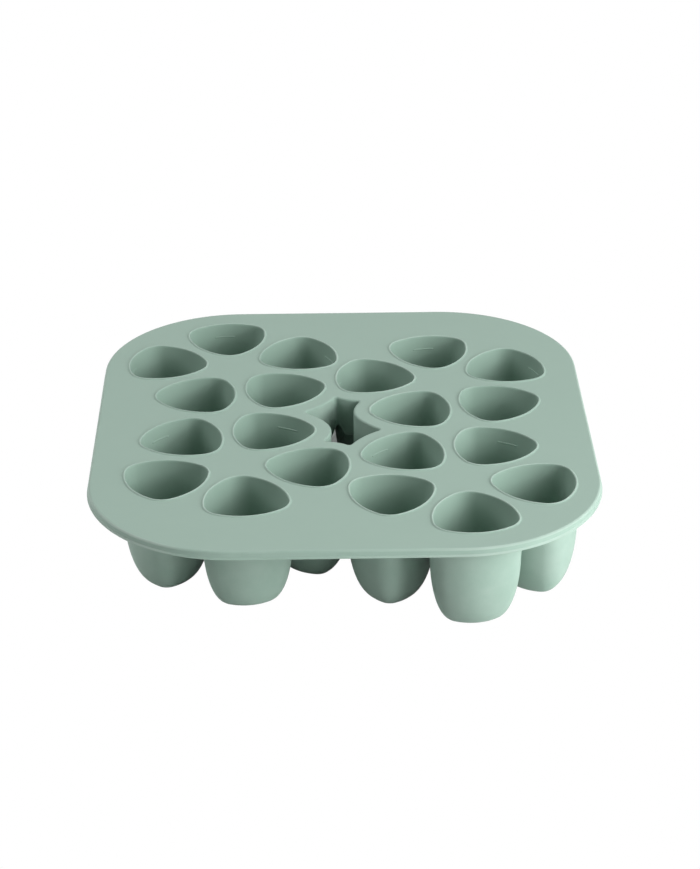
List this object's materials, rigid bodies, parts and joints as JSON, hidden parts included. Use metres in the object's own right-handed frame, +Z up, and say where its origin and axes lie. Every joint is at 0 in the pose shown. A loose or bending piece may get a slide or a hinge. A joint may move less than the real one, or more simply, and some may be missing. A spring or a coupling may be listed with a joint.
{
  "type": "baby food freezer tray",
  "caption": "Rounded rectangular flexible tray with deep rounded-triangle cups in flower groups below a flat deck, a rounded edge rim and a star-shaped centre opening.",
  "frame": {"origin": "middle of the tray at the level of the cups' flat bases", "axes": "+Z up out of the cups, +Y to the far edge, +X to the right as the picture shows it"},
  "size_m": [0.21, 0.227, 0.0455],
  "materials": {
    "silicone": "matte satin, sage green"
  },
  "bodies": {
    "root": {"deck": "silicone", "edge_rim": "silicone", "centre_well": "silicone", "cup_far_left_1": "silicone", "cup_far_left_2": "silicone", "cup_far_left_3": "silicone", "cup_far_left_4": "silicone", "cup_far_left_5": "silicone", "cup_far_right_1": "silicone", "cup_far_right_2": "silicone", "cup_far_right_3": "silicone", "cup_far_right_4": "silicone", "cup_far_right_5": "silicone", "cup_near_left_1": "silicone", "cup_near_left_2": "silicone", "cup_near_left_3": "silicone", "cup_near_left_4": "silicone", "cup_near_left_5": "silicone", "cup_near_right_1": "silicone", "cup_near_right_2": "silicone", "cup_near_right_3": "silicone", "cup_near_right_4": "silicone", "cup_near_right_5": "silicone"}
  },
  "joints": []
}
